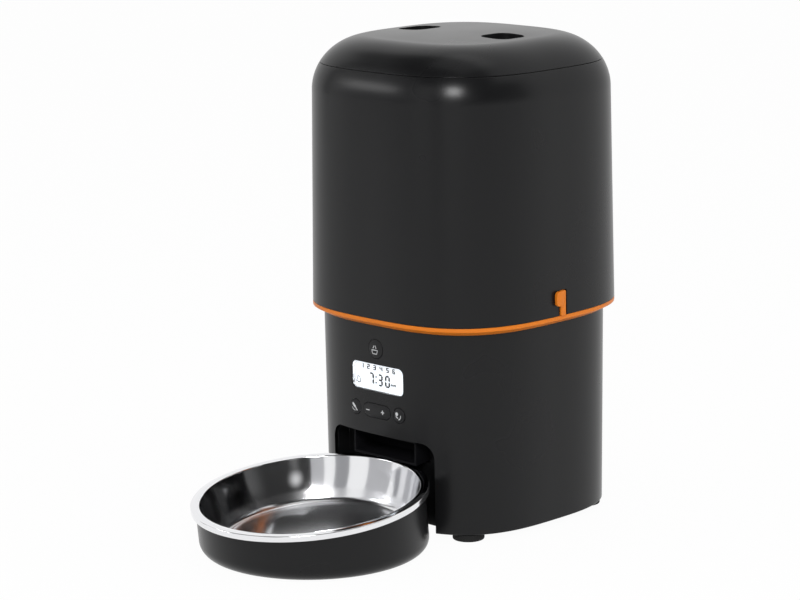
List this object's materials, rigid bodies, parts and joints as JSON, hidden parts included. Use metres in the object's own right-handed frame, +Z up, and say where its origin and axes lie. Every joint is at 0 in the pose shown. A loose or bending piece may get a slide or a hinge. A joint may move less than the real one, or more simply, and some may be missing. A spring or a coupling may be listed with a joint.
{
  "type": "pet food dispenser",
  "caption": "Upright automatic dry-food dispenser with a domed lift-off hopper, rotor feed, lit display with keys, and a docked tray holding a steel bowl.",
  "frame": {"origin": "middle of the footprint, on the surface the feet and the tray stand on", "axes": "+Z up, -Y out of the front where the bowl is docked, +X to the right as seen when looking along +Y at the front"},
  "size_m": [0.1846, 0.3118, 0.3235],
  "materials": {
    "charcoal_shell": "fine satin moulded texture",
    "charcoal_key": "satin with pale printed signs",
    "orange_trim": "satin orange, moulded through",
    "inner_black": "matt black moulding",
    "latch_grey": "satin grey moulding",
    "display_pane": "clear glossy lens",
    "display_face": "evenly lit white display",
    "board_green": "green solder mask",
    "silicone_grey": "translucent grey silicone",
    "foot_rubber": "matt black rubber",
    "zinc_steel": "zinc-plated steel",
    "polished_steel": "mirror-polished stainless steel",
    "nylon_white": "natural nylon",
    "fleece_bag": "soft non-woven pouch"
  },
  "bodies": {
    "base": {"base_housing": "charcoal_shell", "bay_liner": "charcoal_shell", "collar_ring": "orange_trim", "food_chute": "inner_black", "display_window": "display_pane", "lcd_panel": "display_face", "control_board": "board_green", "key_mat": "silicone_grey", "gearbox_case": "inner_black", "gearbox_cover": "inner_black", "gear_motor": "zinc_steel", "bottom_cover": "charcoal_shell", "foot_front_left": "foot_rubber", "foot_back_left": "foot_rubber", "foot_front_right": "foot_rubber", "foot_back_right": "foot_rubber", "cover_screw_front_left": "zinc_steel", "cover_screw_back_left": "zinc_steel", "cover_screw_front_right": "zinc_steel", "cover_screw_back_right": "zinc_steel", "battery_box": "inner_black", "battery_contact_right": "zinc_steel", "battery_contact_left": "zinc_steel", "speaker": "inner_black", "power_jack": "inner_black"},
    "battery_door": {"battery_door": "charcoal_shell"},
    "tray": {"bowl_tray": "charcoal_shell"},
    "bowl": {"steel_bowl": "polished_steel"},
    "tank": {"tank_hood": "charcoal_shell", "hopper_funnel": "inner_black", "food_baffle": "inner_black"},
    "rotor": {"rotor_wheel": "nylon_white", "rotor_cone": "nylon_white"},
    "drive": {"drive_gear": "nylon_white", "drive_shaft": "zinc_steel"},
    "pinion": {"motor_pinion": "zinc_steel"},
    "lid": {"lid_cover": "charcoal_shell", "lid_inner_plate": "inner_black", "lid_gasket": "silicone_grey", "desiccant_cup": "inner_black", "desiccant_bag": "fleece_bag"},
    "desiccant_cap": {"desiccant_cap": "inner_black"},
    "lid_latch_right": {"lid_latch_right": "latch_grey"},
    "lid_latch_left": {"lid_latch_left": "latch_grey"},
    "release_tab_right": {"release_tab_right": "orange_trim"},
    "release_tab_left": {"release_tab_left": "orange_trim"},
    "feed_key": {"feed_key": "charcoal_key"},
    "record_key": {"record_key": "charcoal_key"},
    "call_key": {"call_key": "charcoal_key"},
    "minus_plus_rocker": {"minus_plus_rocker": "charcoal_key"}
  },
  "joints": [
    {"name": "tank_lift", "type": "slide", "parent": "base", "child": "tank", "axis": [0, 0, 1], "range_m": [0, 0.16]},
    {"name": "lid_lift", "type": "slide", "parent": "tank", "child": "lid", "axis": [0, 0, 1], "range_m": [0, 0.06]},
    {"name": "lid_latch_right_press", "type": "slide", "parent": "lid", "child": "lid_latch_right", "axis": [-1, 0, 0], "range_m": [0, 0.002], "stiffness_N_per_m": 400},
    {"name": "lid_latch_left_press", "type": "slide", "parent": "lid", "child": "lid_latch_left", "axis": [1, 0, 0], "range_m": [0, 0.002], "stiffness_N_per_m": 400},
    {"name": "desiccant_cap_turn", "type": "hinge", "parent": "lid", "child": "desiccant_cap", "pos_m": [0, 0.06593, 0.2985], "axis": [0, 0, 1], "range_deg": [0, 45]},
    {"name": "rotor_spin", "type": "hinge", "parent": "tank", "child": "rotor", "pos_m": [0, 0.06593, 0.162], "axis": [0, 0, 1], "continuous": true},
    {"name": "drive_spin", "type": "hinge", "parent": "base", "child": "drive", "pos_m": [0, 0.06593, 0.11], "axis": [0, 0, 1], "continuous": true},
    {"name": "pinion_spin", "type": "hinge", "parent": "base", "child": "pinion", "pos_m": [0, 0.08993, 0.11], "axis": [0, 0, 1], "continuous": true},
    {"name": "release_tab_right_push", "type": "slide", "parent": "base", "child": "release_tab_right", "axis": [0, 1, 0], "range_m": [0, 0.002], "stiffness_N_per_m": 400},
    {"name": "release_tab_left_push", "type": "slide", "parent": "base", "child": "release_tab_left", "axis": [0, 1, 0], "range_m": [0, 0.002], "stiffness_N_per_m": 400},
    {"name": "feed_key_press", "type": "slide", "parent": "base", "child": "feed_key", "axis": [0, 1, 0], "range_m": [0, 0.0008], "stiffness_N_per_m": 600},
    {"name": "record_key_press", "type": "slide", "parent": "base", "child": "record_key", "axis": [0, 1, 0], "range_m": [0, 0.0008], "stiffness_N_per_m": 600},
    {"name": "call_key_press", "type": "slide", "parent": "base", "child": "call_key", "axis": [0, 1, 0], "range_m": [0, 0.0008], "stiffness_N_per_m": 600},
    {"name": "rocker_tilt", "type": "hinge", "parent": "base", "child": "minus_plus_rocker", "pos_m": [0, -0.01407, 0.081], "axis": [0, 0, 1], "range_deg": [-2.5, 2.5], "stiffness_Nm_per_rad": 0.2},
    {"name": "battery_door_slide", "type": "slide", "parent": "base", "child": "battery_door", "axis": [0, -1, 0], "range_m": [0, 0.008]},
    {"name": "tray_pull", "type": "slide", "parent": "base", "child": "tray", "axis": [0, -1, 0], "range_m": [0, 0.12]},
    {"name": "bowl_turn", "type": "hinge", "parent": "tray", "child": "bowl", "pos_m": [0, -0.07907, 0.03906], "axis": [0, -0.1028, 0.9947], "continuous": true}
  ],
  "couplings": [
    {"joint": "drive_spin", "follows": "rotor_spin", "ratio": 1},
    {"joint": "pinion_spin", "follows": "rotor_spin", "ratio": -3}
  ]
}
